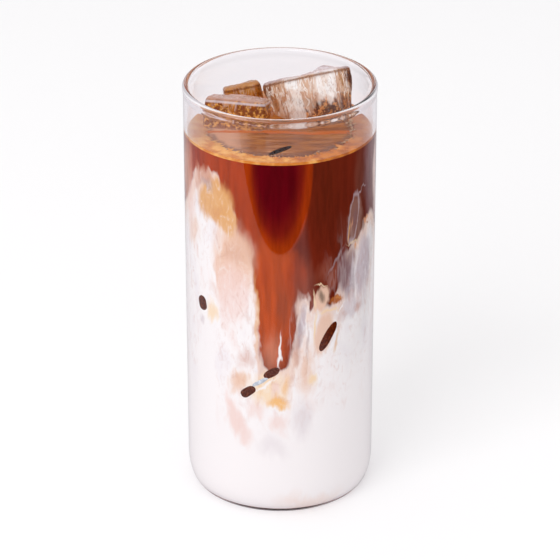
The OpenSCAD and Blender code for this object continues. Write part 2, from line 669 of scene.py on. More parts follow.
@dataclass(frozen=True)
class MilkAndCoffee:
    """Whole milk and espresso that run into each other: white, then beige and tan veils, then clear garnet.

    The eye reads the coffee as deep and clear, the milk as soft, and between them wisps drawn out upright.
    """

    wall_r: float
    level: float
    # Where the milk ends, (azimuth in degrees, height): the plumes as in the CAD, with their ragged edges
    rim_of_milk: tuple[tuple[float, float], ...] = (
        (-180, 94), (-163, 86), (-148, 80), (-133, 92), (-118, 108), (-103, 104), (-88, 106), (-78, 112),
        (-70, 118), (-62, 124), (-56, 126.5), (-48, 127.5), (-42, 126), (-38, 119.5), (-33, 115.5),
        (-29, 112), (-26.5, 104.5), (-22, 100), (-18, 93), (-16.3, 84), (-15.4, 70), (-14, 60), (-8, 56),
        (0, 57), (5, 59.5), (8.5, 65), (10.5, 75), (13, 83), (17, 84), (19, 79), (21, 83), (26, 84),
        (32, 82), (38, 84), (42, 90), (46, 98), (52, 100), (58, 101), (64, 103), (69, 106), (78, 102),
        (90, 92),
        (104, 84), (118, 96), (130, 104), (142, 82), (152, 62), (162, 76), (172, 90), (180, 94),
    )
    # Patches in the coffee, then the clear depth in the middle, then patches in the milk
    coffee_veils: tuple[Veil, ...] = (
        Veil(Tone.RED_BROWN, -42, 118, 38, 48, core=0.72),
        Veil(Tone.ROSE, -78, 121, 13, 20, cover=0.85, core=0.2),
        Veil(Tone.WINE, -62, 132, 10, 8, cover=0.4, core=0.2),
        Veil(Tone.UMBER, 58, 124, 10, 22, cover=0.5, core=0.2),
        Veil(Tone.MAUVE, 70, 122, 10, 24, cover=0.8, core=0.3),
        Veil(Tone.PINK, 81, 118, 6, 24, cover=0.8, core=0.2),
        Veil(Tone.RUST, -36, 116, 12, 16, -20, cover=0.6, core=0.2),
        Veil(Tone.ORANGE_BROWN, -5, 84, 19, 34, core=0.5),
        Veil(Tone.ROSE, -7, 64, 9, 13, cover=0.45, core=0.1),
        Veil(Tone.UMBER, 2, 82, 7, 18, cover=0.3, core=0.1),
        Veil(Tone.RUST, -8, 94, 6, 10, cover=0.4, core=0.1),
        Veil(Tone.MAUVE_BROWN, 13, 82, 9, 24, cover=0.75, core=0.2),
        Veil(Tone.DARK_BROWN, 30, 126, 15, 34, cover=0.5, core=0.2),
        Veil(Tone.UMBER, 44, 104, 12, 9, cover=0.4, core=0.1),
        Veil(Tone.RED_BROWN, 8, 92, 10, 10, cover=0.5, core=0.1),
        Veil(Tone.APRICOT, -23.5, 105, 2.2, 8, -32, cover=0.3, core=0.1),
        Veil(Tone.RED_BROWN, -128, 118, 22, 26, core=0.3),
        Veil(Tone.ORANGE_BROWN, 153, 84, 20, 30, core=0.3),
        Veil(Tone.DARK_BROWN, 112, 118, 22, 22, cover=0.8, core=0.3),
        Veil(Tone.ORANGE_BROWN, -152, 94, 16, 20, core=0.3),
        Veil(Tone.WINE, 172, 120, 16, 22, core=0.3),
    )
    deep_veils: tuple[Veil, ...] = (
        Veil(Tone.RUST, 0.3, 134.2, 20.6, 34.4, cover=0.75, core=0.93),
        Veil(Tone.WINE, -1, 134.2, 18.8, 33.0, core=0.75),
        Veil(Tone.GARNET, -2.0, 134.2, 18.0, 30.5, core=0.55),
        Veil(Tone.RUST, 14, 114, 4.5, 12, 14, cover=0.4, core=0.1),
    )
    milk_veils: tuple[Veil, ...] = (
        Veil(Tone.BEIGE, -29, 99, 18, 17, cover=1.0, core=0.35),
        Veil(Tone.ROSE, -28, 101, 11, 8, 10, cover=0.35, core=0.1),
        Veil(Tone.BEIGE, -37, 91, 13, 14, cover=0.7, core=0.3),
        Veil(Tone.PINK, -30, 84, 16, 18, cover=0.75, core=0.3),
        Veil(Tone.TAN, -45, 117, 17.5, 10.5, cover=0.95, core=0.55),
        Veil(Tone.TAN, -33, 112, 9, 6, -20, cover=0.9, core=0.4),
        Veil(Tone.AMBER, -42, 113, 8, 4, cover=0.3, core=0.1),
        Veil(Tone.ROSE, -54, 125.5, 11, 5.0, 8, cover=0.75, core=0.4),
        Veil(Tone.MAUVE_GREY, -52, 122.5, 9, 3.0, 8, cover=0.5, core=0.2),
        Veil(Tone.ROSE, -61, 121, 4, 5, 20, cover=0.5, core=0.2),
        Veil(Tone.PINK, -70, 112, 9, 12, cover=0.6, core=0.2),
        Veil(Tone.BEIGE, -66, 102, 12, 8, cover=0.6, core=0.2),
        Veil(Tone.MILK, -54, 90, 4, 9, 6, cover=0.9, core=0.2),
        Veil(Tone.MILK, -46, 90, 3, 11, -18, cover=0.9, core=0.2),
        Veil(Tone.APRICOT, -15.5, 80, 1.8, 20, 1, cover=0.45, core=0.2),
        Veil(Tone.MILK, -19, 77, 3.4, 20, cover=0.8, core=0.3),
        Veil(Tone.MAUVE_GREY, 47, 89, 9, 11, cover=0.9, core=0.45),
        Veil(Tone.PALE_GREY, 63, 90, 12, 13, cover=0.95, core=0.45),
        Veil(Tone.PALE_GREY, 50, 77, 19, 7, cover=0.6, core=0.2),
        Veil(Tone.MAUVE_GREY, 52, 84, 2.4, 8, 4, cover=0.4, core=0.1),
        Veil(Tone.MAUVE_GREY, 12, 71, 4.0, 15, 6, cover=0.85, core=0.2),
        Veil(Tone.ROSE, 9.5, 62, 3.0, 8, 6, cover=0.5, core=0.1),
        Veil(Tone.PALE_GREY, 14.5, 76, 2.0, 9, cover=0.85, core=0.1),
        Veil(Tone.MAUVE_GREY, 18, 66, 2, 12, cover=0.6, core=0.1),
        Veil(Tone.BEIGE, 17, 58, 9, 15, cover=0.8, core=0.15),
        Veil(Tone.MILK, -1.4, 65, 1.2, 9, 2, cover=0.95, core=0.3),
        Veil(Tone.ROSE, -21, 61, 7, 8, 30, cover=0.4, core=0.1),
        Veil(Tone.CREAM, 22, 54, 4, 3, cover=0.9, core=0.2),
        Veil(Tone.CREAM, -8, 49, 18, 9, cover=0.85, core=0.3),
        Veil(Tone.APRICOT, -1, 43.6, 10, 3.4, cover=1.0, core=0.3),
        Veil(Tone.APRICOT, 4.5, 50, 3.4, 7, cover=0.65, core=0.2),
        Veil(Tone.PINK, -2, 48.5, 5, 4, cover=0.8, core=0.2),
        Veil(Tone.TAN, -25, 51, 5, 4, cover=0.5, core=0.2),
        Veil(Tone.BEIGE, -27, 50, 7, 6, cover=0.7, core=0.2),
        Veil(Tone.MILK, -10, 50.2, 2.2, 7.5, 60, cover=0.9, core=0.2),
        Veil(Tone.PINK, -30, 38, 6, 12, -14, cover=0.8, core=0.2),
        Veil(Tone.PINK, 0, 35, 10, 6, cover=0.6, core=0.2),
        Veil(Tone.CREAM, -46, 76, 6, 4.5, cover=0.8, core=0.2),
        Veil(Tone.PINK, -15, 40, 9, 6, cover=0.6, core=0.2),
        Veil(Tone.PINK, -23, 31, 5, 9, -18, cover=0.65, core=0.2),
        Veil(Tone.PALE_GREY, 15, 38, 9, 11, cover=0.35, core=0.1),
        Veil(Tone.PALE_GREY, -5, 25, 15, 7, cover=0.25, core=0.1),
        Veil(Tone.BEIGE, 20, 4, 34, 6, cover=0.3, core=0.1),
        Veil(Tone.PALE_GREY, -54, 71, 4, 2, cover=0.5, core=0.2),
        Veil(Tone.TAN, -122, 104, 15, 9, cover=0.8, core=0.3),
        Veil(Tone.MAUVE_GREY, -96, 98, 13, 14, cover=0.6, core=0.2),
        Veil(Tone.TAN, 126, 99, 14, 10, cover=0.8, core=0.3),
        Veil(Tone.PALE_GREY, 98, 82, 14, 15, cover=0.6, core=0.2),
        Veil(Tone.CREAM, 150, 54, 13, 7, cover=0.8, core=0.3),
        Veil(Tone.PINK, -150, 66, 14, 14, cover=0.7, core=0.2),
    )
    # Small features that the liquids have hardly dragged about
    details: tuple[Veil, ...] = (
        Veil(Tone.MAUVE_BROWN, 28, 93, 8, 8, 30, cover=0.6, core=0.1),
        Veil(Tone.MAUVE_BROWN, 36.5, 90.5, 7.2, 8, 34, cover=0.75, core=0.4),
        Veil(Tone.MAUVE, 43, 91, 8, 9.5, cover=0.85, core=0.4),
        Veil(Tone.MAUVE, 50, 96, 6, 5, cover=0.6, core=0.2),
        Veil(Tone.PALE_GREY, 36.5, 96, 1.8, 7.4, 36, cover=0.35, core=0.1),
        Veil(Tone.TAUPE, 53, 108.5, 8.6, 9.8, cover=0.95, core=0.65),
        Veil(Tone.MAUVE, 52, 109, 3.6, 6.5, 6, cover=0.6, core=0.2),
        Veil(Tone.UMBER, 60.5, 106, 4.0, 5, cover=0.7, core=0.3),
        Veil(Tone.PALE_GREY, 51.0, 109.5, 4.4, 8.6, 9, cover=0.5, core=0.0, ring=0.22),
        Veil(Tone.PALE_GREY, 57.0, 117.8, 1.2, 2.8, 36, cover=0.55, core=0.1),
        Veil(Tone.PALE_GREY, 61, 119.4, 1.0, 2.4, 105, cover=0.45, core=0.1),
        Veil(Tone.TAN, 47.0, 105, 1.2, 4.8, 8, cover=0.75, core=0.2),
        Veil(Tone.PEACH, 49.4, 107, 0.9, 3.6, 4, cover=0.6, core=0.1),
        Veil(Tone.PEACH, 64.8, 106.6, 3.2, 2.4, 60, cover=0.95, core=0.35),
        Veil(Tone.COPPER, 67, 104, 1.5, 1.0, cover=0.7, core=0.2),
        Veil(Tone.CREAM, 51, 100.6, 8.5, 0.8, cover=0.6, core=0.2),
        Veil(Tone.AMBER, 53.3, 98.6, 1.3, 1.9, cover=0.7, core=0.2),
        Veil(Tone.PALE_GREY, 50, 92, 1.6, 8, 3, cover=0.5, core=0.1),
        Veil(Tone.ROSE, 56.5, 74.6, 4.8, 2.6, -20, cover=0.5, core=0.2),
        Veil(Tone.BEIGE, 26.6, 83.0, 6.2, 5.6, 12, cover=0.95, core=0.65),
        Veil(Tone.SMOKE, 26.2, 83.8, 2.8, 4.2, -14, cover=0.9, core=0.2),
        Veil(Tone.CREAM, 25.8, 88.2, 0.8, 3.2, 104, cover=0.9, core=0.2),
        Veil(Tone.CREAM, 21.6, 83.4, 0.8, 5.4, -8, cover=0.9, core=0.2),
        Veil(Tone.COPPER, 37, 81.2, 6.4, 2.2, cover=0.95, core=0.5),
        Veil(Tone.AMBER, 39, 81.6, 3.4, 0.9, cover=0.6, core=0.2),
        Veil(Tone.CREAM, 32, 77.8, 10, 0.9, cover=0.9, core=0.3),
        Veil(Tone.BEIGE, 28.0, 69.5, 8.6, 10, 10, cover=0.9, core=0.55),
        Veil(Tone.CREAM, 21.8, 72, 1.0, 9, 4, cover=0.9, core=0.2),
        Veil(Tone.TAN, 37.2, 65, 1.6, 6, 12, cover=0.6, core=0.2),
        Veil(Tone.MILK, 40.5, 77.4, 0.8, 4, 50, cover=0.8, core=0.2),
    )
    # Where the wisps of milk are strongest
    wispy: tuple[Veil, ...] = (
        Veil(Tone.MILK, 52, 92, 30, 20, cover=0.4, core=0.3),
        Veil(Tone.MILK, -50, 96, 26, 22, cover=0.7, core=0.2),
        Veil(Tone.MILK, -30, 104, 20, 16, cover=0.12, core=0.2),
        Veil(Tone.MILK, 14, 66, 16, 22, cover=0.9, core=0.2),
        Veil(Tone.MILK, -104, 92, 26, 24, cover=0.9, core=0.3),
        Veil(Tone.MILK, 104, 86, 26, 24, cover=0.9, core=0.3),
        Veil(Tone.MILK, 152, 70, 24, 22, cover=0.9, core=0.3),
        Veil(Tone.MILK, -156, 84, 20, 22, cover=0.9, core=0.3),
    )

    wisp_cover: float = 0.38
    # Each drag of one liquid on the other, all in millimetres but the second: the size of its swirls, how
    # flat they are, and how far they reach along the wall and up it
    drags: tuple[tuple[float, float, float, float], ...] = (
        (1.5, 0.35, 0.9, 2.2), (4.5, 0.4, 2.4, 4.6), (14, 0.5, 3.0, 5.0),
    )
    # How far to either side the slope of the milk's rim is taken, in millimetres
    slope_reach: float = 1.2

    def spread(self, tree: bpy.types.NodeTree, where: bpy.types.Node, veil: Veil) -> bpy.types.Node:
        """How much of a veil covers each place.

        Args:
            tree: the node tree.
            where: the place along the wall and its height, in millimetres.
            veil: the patch.

        Returns:
            The node whose first output is the cover, 0 to 1.
        """
        local = add_node(
            tree,
            "ShaderNodeMapping",
            {
                "Vector": where,
                "Location": (math.radians(veil.azimuth) * self.wall_r, veil.height, 0),
                "Rotation": (0, 0, math.radians(-veil.lean)),
                "Scale": (math.radians(veil.half_width) * self.wall_r, veil.half_height, 1),
            },
            vector_type="TEXTURE",
        )
        reach = add_node(tree, VECTOR, {0: local}, operation="LENGTH").outputs["Value"]
        edge = 1.0
        if veil.ring:
            from_edge = add_node(tree, MATH, {0: reach, 1: 1.0}, operation="SUBTRACT")
            reach = add_node(tree, MATH, {0: from_edge}, operation="ABSOLUTE").outputs[0]
            edge = veil.ring
        return add_node(
            tree,
            SPAN,
            {"Value": reach, "From Min": veil.core, "From Max": edge, "To Min": veil.cover, "To Max": 0.0},
            **SMOOTH,
        )

    def lay(
        self,
        tree: bpy.types.NodeTree,
        where: bpy.types.Node,
        ground: Colour,
        veils: tuple[Veil, ...],
        sector: Sector,
        drag: float = 12.0,
    ) -> Colour:
        """Lays the veils that reach into a sector over a colour, one after another.

        Args:
            tree: the node tree.
            where: the place along the wall and its height, in millimetres.
            ground: the colour under them.
            veils: the patches, the lowest first.
            sector: the part of the side.
            drag: how far the liquids carry a veil round the glass, in degrees.

        Returns:
            The last colour.
        """
        for veil in veils:
            if not veil.reaches(sector, self.wall_r, drag):
                continue
            mixed = add_node(
                tree,
                MIX,
                {0: self.spread(tree, where, veil), 6: ground, 7: linear(veil.tone.value)},
                data_type="RGBA",
            )
            ground = mixed.outputs[2]
        return ground

    def noise(self, tree: bpy.types.NodeTree, flat: float, size: float, **more) -> bpy.types.Node:
        """Noise over the drink, drawn out along Z.

        Args:
            tree: the node tree.
            flat: the features' width over their height.
            size: the size of its features in millimetres.
            **more: the noise's other inputs.

        Returns:
            The node whose first output is the noise.
        """
        drawn = {0: place_in_mm(tree), 1: (1, 1, flat)}
        drawn = add_node(tree, VECTOR, drawn, operation="MULTIPLY")
        return add_node(tree, NOISE, {"Vector": drawn, "Scale": 1 / size, **more})

    def stirred(
        self, tree: bpy.types.NodeTree, along: bpy.types.Node, up: bpy.types.NodeSocket
    ) -> tuple[bpy.types.Node, bpy.types.Node, list[bpy.types.Node]]:
        """Lets the two liquids drag each other about: fine curls, then slow bends, all drawn out upright.

        Args:
            tree: the node tree.
            along: the place along the wall in millimetres.
            up: the height in millimetres.

        Returns:
            The place after the finest drag, the place after all of them, and the latter's two coordinates.
        """
        stirred = [along, up]
        nearly_calm = None
        for size, flat, *reaches in self.drags:
            drag = self.noise(tree, flat, size, Detail=2.0).outputs["Color"]
            channels = add_node(tree, "ShaderNodeSeparateColor", {0: drag}).outputs
            for i, reach in enumerate(reaches):
                off = add_node(tree, MATH, {0: channels[i], 1: 0.5}, operation="SUBTRACT")
                stirred[i] = add_node(
                    tree, MATH, {0: off, 1: reach * 2, 2: stirred[i]}, operation="MULTIPLY_ADD"
                )
            where = add_node(tree, "ShaderNodeCombineXYZ", {"X": stirred[0], "Y": stirred[1]})
            nearly_calm = nearly_calm or where
        return nearly_calm, where, stirred

    def over_rim(
        self, tree: bpy.types.NodeTree, stirred: list[bpy.types.Node]
    ) -> tuple[bpy.types.Node, bpy.types.Node]:
        """How far each place lies over the rim of the milk.

        Args:
            tree: the node tree.
            stirred: the place along the wall and the height.

        Returns:
            The height over the rim, and the distance from it, which allows for the rim's slope.
        """
        add = partial(add_node, tree)
        heights = []
        for offset in (-self.slope_reach, 0.0, self.slope_reach):
            turn = add(MATH, {0: stirred[0], 1: offset}, operation="ADD")
            turn = add(MATH, {0: turn, 1: 1 / (TAU * self.wall_r), 2: 0.5}, operation="MULTIPLY_ADD")
            turn = add(MATH, {0: turn}, operation="FRACT")
            rim = add("ShaderNodeFloatCurve", {"Value": turn})
            curve = rim.mapping.curves[0]
            curve.points[0].location = (0, self.rim_of_milk[0][1] / self.level)
            curve.points[1].location = (1, self.rim_of_milk[-1][1] / self.level)
            for azimuth, height in self.rim_of_milk[1:-1]:
                curve.points.new(azimuth / 360 + 0.5, height / self.level)
            rim.mapping.update()
            heights.append(add(MATH, {0: rim, 1: self.level}, operation="MULTIPLY"))
        rise = add(MATH, {0: heights[2], 1: heights[0]}, operation="SUBTRACT")
        slope = add(MATH, {0: rise, 1: 0.5 / self.slope_reach}, operation="MULTIPLY")
        steepness = add(MATH, {0: slope, 1: slope, 2: 1.0}, operation="MULTIPLY_ADD")
        steepness = add(MATH, {0: steepness}, operation="SQRT")
        gap = add(MATH, {0: stirred[1], 1: heights[1]}, operation="SUBTRACT")
        return gap, add(MATH, {0: gap, 1: steepness}, operation="DIVIDE")

    def clouded(
        self,
        tree: bpy.types.NodeTree,
        body: Colour,
        pattern: bpy.types.Node,
        where: bpy.types.Node,
        tints: tuple[tuple[float, float, Tone], ...],
    ) -> bpy.types.NodeSocket:
        """Tints a colour in clouds.

        Args:
            tree: the node tree.
            body: the colour.
            pattern: a noise about 0.5.
            where: how much of the tints each place takes, 0 to 1.
            tints: the noise's value at which each tint is full, its cover there, and its tone.

        Returns:
            The tinted colour.
        """
        for full_at, cover, tone in tints:
            span = {"Value": pattern, "From Min": 0.5, "From Max": full_at, "To Max": cover}
            share = add_node(tree, SPAN, span, **SMOOTH)
            share = add_node(tree, MATH, {0: share, 1: where}, operation="MULTIPLY")
            mixed = add_node(tree, MIX, {0: share, 6: body, 7: linear(tone.value)}, data_type="RGBA")
            body = mixed.outputs[2]
        return body

    def coffee(
        self, tree: bpy.types.NodeTree, where: bpy.types.Node, calm: bpy.types.Node, sector: Sector
    ) -> bpy.types.Node:
        """The coffee's colour: its veils, the clear garnet depth in the middle, and fine upright streaks.

        Args:
            tree: the node tree.
            where: the stirred place.
            calm: the place that nothing has stirred.
            sector: the part of the side.

        Returns:
            The node whose first output is the colour.
        """
        coffee = self.lay(tree, where, linear(Tone.BROWN.value), self.coffee_veils, sector)
        coffee = self.lay(tree, calm, coffee, self.deep_veils, sector)
        streak = self.noise(tree, 0.12, 1.8, Detail=4.0, Roughness=0.6)
        span = {"Value": streak, "From Min": 0.3, "From Max": 0.7, "To Min": 0.84, "To Max": 1.16}
        shade = add_node(tree, SPAN, span, **SMOOTH)
        return add_node(tree, VECTOR, {0: coffee, "Scale": shade}, operation="SCALE")

    def wisps(
        self, tree: bpy.types.NodeTree, body: Colour, where: bpy.types.Node, sector: Sector
    ) -> bpy.types.NodeSocket:
        """Wisps of milk, the crests of a noise drawn out along Z, where the two liquids have mixed most.

        Args:
            tree: the node tree.
            body: the colour under them.
            where: the stirred place.
            sector: the part of the side.

        Returns:
            The colour with the wisps over it.
        """
        add = partial(add_node, tree)
        wispy = self.lay(tree, where, linear("000000"), self.wispy, sector)
        crest = self.noise(tree, 0.14, 3.4, Detail=3.0, Roughness=0.5, Distortion=0.4)
        crest = add(MATH, {0: crest, 1: 0.5}, operation="SUBTRACT")
        crest = add(MATH, {0: crest}, operation="ABSOLUTE")
        span = {"Value": crest, "From Min": 0.0, "From Max": 0.05, "To Min": 1.0, "To Max": 0.0}
        thin = add(MATH, {0: add(SPAN, span, **SMOOTH), 1: wispy}, operation="MULTIPLY")
        thin = add(MATH, {0: thin, 1: self.wisp_cover}, operation="MULTIPLY")
        return add(MIX, {0: thin, 6: body, 7: linear(Tone.MILK.value)}, data_type="RGBA").outputs[2]

    def make(self, sector: Sector) -> bpy.types.Material:
        """Builds the material of one sector.

        Args:
            sector: the part of the side that it is for.

        Returns:
            The material.
        """
        made, tree = new_material("whole_milk_and_espresso_" + sector.name.lower())
        add = partial(add_node, tree)
        place = add(AXES, {0: place_in_mm(tree)}).outputs
        ahead = add(MATH, {0: place["Y"], 1: -1.0}, operation="MULTIPLY")
        turn = add(MATH, {0: place["X"], 1: ahead}, operation="ARCTAN2")
        along = add(MATH, {0: turn, 1: self.wall_r}, operation="MULTIPLY")
        calm = add("ShaderNodeCombineXYZ", {"X": along, "Y": place["Z"]})
        nearly_calm, where, stirred = self.stirred(tree, along, place["Z"])
        gap, over = self.over_rim(tree, stirred)
        clear = add(SPAN, {"Value": over, "From Min": -1.2, "From Max": 1.6}, **SMOOTH)
        milky = add(MATH, {0: 1.0, 1: clear}, operation="SUBTRACT")

        # Milk, tinted in slow clouds where some coffee has gone into it, and coffee over it
        risen = add(SPAN, {"Value": place["Z"], "From Min": 22.0, "From Max": 62.0}, **SMOOTH)
        near = add(SPAN, {"Value": over, "From Min": -75.0, "From Max": -6.0}, **SMOOTH)
        mixed_in = add(MATH, {0: risen, 1: near}, operation="MULTIPLY")
        drift = self.noise(tree, 0.45, 11.0, Detail=4.0, Roughness=0.55)
        tints = ((0.72, 0.8, Tone.PINK), (0.3, 0.45, Tone.COOL_WHITE))
        body = self.clouded(tree, linear(Tone.MILK.value), drift, mixed_in, tints)
        coffee = self.coffee(tree, where, calm, sector)
        body = add(MIX, {0: clear, 6: body, 7: coffee}, data_type="RGBA").outputs[2]

        # A warm fringe just below the rim
        span = {"Value": over, "From Min": -9.0, "From Max": 0.5, "To Max": 0.75}
        fringe = add(MATH, {0: add(SPAN, span, **SMOOTH), 1: milky}, operation="MULTIPLY")
        low = add(SPAN, {"Value": gap, "From Min": -26.0, "From Max": -9.0}, **SMOOTH)
        fringe = add(MATH, {0: fringe, 1: low}, operation="MULTIPLY")
        body = add(MIX, {0: fringe, 6: body, 7: linear(Tone.BEIGE.value)}, data_type="RGBA").outputs[2]
        body = self.lay(tree, where, body, self.milk_veils, sector)

        # Curls where the milk clouds over, light and dark by turns
        curl = self.noise(tree, 0.5, 2.8, Detail=5.0, Roughness=0.62, Distortion=1.4)
        curled = add(MATH, {0: mixed_in, 1: milky}, operation="MULTIPLY")
        tints = ((0.74, 0.42, Tone.MILK), (0.3, 0.3, Tone.ROSE))
        body = self.clouded(tree, body, curl, curled, tints)
        body = self.lay(tree, nearly_calm, body, self.details, sector, drag=4.0)
        body = self.wisps(tree, body, where, sector)

        look = {"Base Color": body, "Roughness": 0.5, "Specular IOR Level": 0.0}
        add("ShaderNodeOutputMaterial", {"Surface": add(PRINCIPLED, look)})
        return made


@dataclass(frozen=True)
class EspressoSurface:
    """Open surface of espresso with a film of fine foam in it, drawn into streaks across the glass.

    The film is paler towards the left wall, and a thin amber line of painted light shines where the ice
    meets the surface.
    """

    streak_mm: float = 3.0
    fleck_mm: float = 1.6
    wave_mm: float = 9.0
    # Where the foam towards the left wall starts and is full, in x
    foamy: tuple[float, float] = (-8.0, -17.0)
    # Where the dark edge beside the crema starts and is full, in radius plus what the flecks add
    edged: tuple[float, float] = (24.3, 27.2)

    def make(self) -> bpy.types.Material:
        """Builds the material.

        Returns:
            The material.
        """
        made, tree = new_material("espresso_surface")
        add = partial(add_node, tree)
        place = place_in_mm(tree)
        axes = add(AXES, {0: place}).outputs
        drawn = add(VECTOR, {0: place, 1: (0.22, 1.0, 1.0)}, operation="MULTIPLY")
        grain = {"Scale": 1 / self.streak_mm, "Detail": 6.0, "Roughness": 0.65, "Distortion": 0.4}
        streaks = add(NOISE, {"Vector": drawn} | grain)
        stops = [(0.28, "4E2006"), (0.46, "8A4812"), (0.58, "A05C22"), (0.72, "C68850")]
        colour = add(RAMP, {0: streaks}, stops)

        span = {"From Min": self.foamy[0], "From Max": self.foamy[1], "To Max": 0.75}
        foamy = add(SPAN, {"Value": axes["X"]} | span, **SMOOTH)

        # The dark edge is uneven by the flecks of foam in it
        flat = add(VECTOR, {0: place, 1: (1, 1, 0)}, operation="MULTIPLY")
        out = add(VECTOR, {0: flat}, operation="LENGTH").outputs["Value"]
        fleck = add(NOISE, {"Vector": place, "Scale": 1 / self.fleck_mm, "Detail": 3.0})
        out = add(MATH, {0: fleck, 1: 6.0, 2: out}, operation="MULTIPLY_ADD")
        span = {"From Min": self.edged[0], "From Max": self.edged[1], "To Max": 0.65}
        dark = add(SPAN, {"Value": out} | span, **SMOOTH)

        # The painted amber line of light waves about y = -3
        wave = add(NOISE, {"Vector": place, "Scale": 1 / self.wave_mm, "Detail": 2.0})
        line = add(MATH, {0: wave, 1: 9.0, 2: -7.4}, operation="MULTIPLY_ADD")
        near = add(MATH, {0: axes["Y"], 1: line}, operation="SUBTRACT")
        near = add(MATH, {0: near}, operation="ABSOLUTE")
        span = {"Value": near, "From Min": 0.6, "From Max": 2.4, "To Min": 0.9, "To Max": 0.0}
        amber = add(SPAN, span, **SMOOTH)

        for share, tone in ((foamy, "D8A488"), (dark, "643E34"), (amber, "C05A04")):
            mixed = add(MIX, {0: share, 6: colour, 7: linear(tone)}, data_type="RGBA")
            colour = mixed.outputs[2]
        ripple = add("ShaderNodeBump", {"Height": streaks, "Strength": 0.25, "Distance": 0.3 * MM})
        look = {"Base Color": colour, "Roughness": 0.14, "IOR": 1.34, "Specular IOR Level": 0.25}
        surface = add(PRINCIPLED, look | {"Normal": ripple})
        add("ShaderNodeOutputMaterial", {"Surface": surface})
        return made


@dataclass(frozen=True)
class FootShade:
    """Whole milk on the glass floor, in the shade of the whole drink: soft, and rose brown."""

    deep: str = "7A4038"
    pale: str = "B4786C"

    def make(self) -> bpy.types.Material:
        """Builds the material.

        Returns:
            The material.
        """
        made, tree = new_material("whole_milk_in_shade")
        cloud = add_node(tree, NOISE, {"Vector": place_in_mm(tree), "Scale": 1 / 8, "Detail": 2.0})
        colour = add_node(tree, RAMP, {0: cloud}, [(0.35, self.deep), (0.65, self.pale)])
        surface = add_node(
            tree, PRINCIPLED, {"Base Color": colour, "Roughness": 0.5, "Specular IOR Level": 0.0}
        )
        add_node(tree, "ShaderNodeOutputMaterial", {"Surface": surface})
        return made


@dataclass(frozen=True)
class CremaFoam:
    """Crema, a foam of coffee oils: fine and tan, paler where it is thick, with half-millimetre pores."""

    pore_mm: float = 0.55

    def make(self) -> bpy.types.Material:
        """Builds the material.

        Returns:
            The material.
        """
        made, tree = new_material("crema_foam")
        place = place_in_mm(tree)
        pores = add_node(tree, "ShaderNodeTexVoronoi", {"Vector": place, "Scale": 1 / self.pore_mm})
        drift = add_node(tree, NOISE, {"Vector": place, "Scale": 1 / 3.5, "Detail": 4.0})
        # A little paler to the left, towards the key light: painted light
        axes = add_node(tree, AXES, {0: place}).outputs
        drift = add_node(tree, MATH, {0: axes["X"], 1: -0.0035, 2: drift}, operation="MULTIPLY_ADD")
        colour = add_node(tree, RAMP, {0: drift}, [(0.3, "B05808"), (0.46, "D47A10"), (0.7, "EFAE58")])
        # Past the front the foam thins out and the coffee's film dulls it
        span = {"Value": axes["Y"], "From Min": -19.0, "From Max": -5.0, "To Max": 0.62}
        dulled = {0: add_node(tree, SPAN, span), 6: colour, 7: linear("9A6A56")}
        dulled = add_node(tree, MIX, dulled, data_type="RGBA").outputs[2]
        dents = {"Height": pores.outputs["Distance"], "Strength": 0.5, "Distance": 0.15 * MM}
        bump = add_node(tree, "ShaderNodeBump", dents)
        look = {"Base Color": dulled, "Roughness": 0.45, "Normal": bump}
        surface = add_node(tree, PRINCIPLED, look)
        add_node(tree, "ShaderNodeOutputMaterial", {"Surface": surface})
        return made


@dataclass(frozen=True)
class FilmBubble:
    """A bubble's wet skin: pale tan and glossy, so that each one shows as a bright bead."""

    tone: str = "E2BE9C"
    shade: str = "B98A66"

    def make(self) -> bpy.types.Material:
        """Builds the material.

        Returns:
            The material.
        """
        made, tree = new_material("espresso_bubble_film")
        cloud = add_node(tree, NOISE, {"Vector": place_in_mm(tree), "Scale": 1 / 1.4, "Detail": 2.0})
        colour = add_node(tree, RAMP, {0: cloud}, [(0.35, self.shade), (0.65, self.tone)])
        skin = add_node(
            tree,
            PRINCIPLED,
            {"Base Color": colour, "Roughness": 0.08, "IOR": 1.33, "Transmission Weight": 0.35},
        )
        add_node(tree, "ShaderNodeOutputMaterial", {"Surface": skin})
        return made


# ---------------------------------------------------------------- the glass


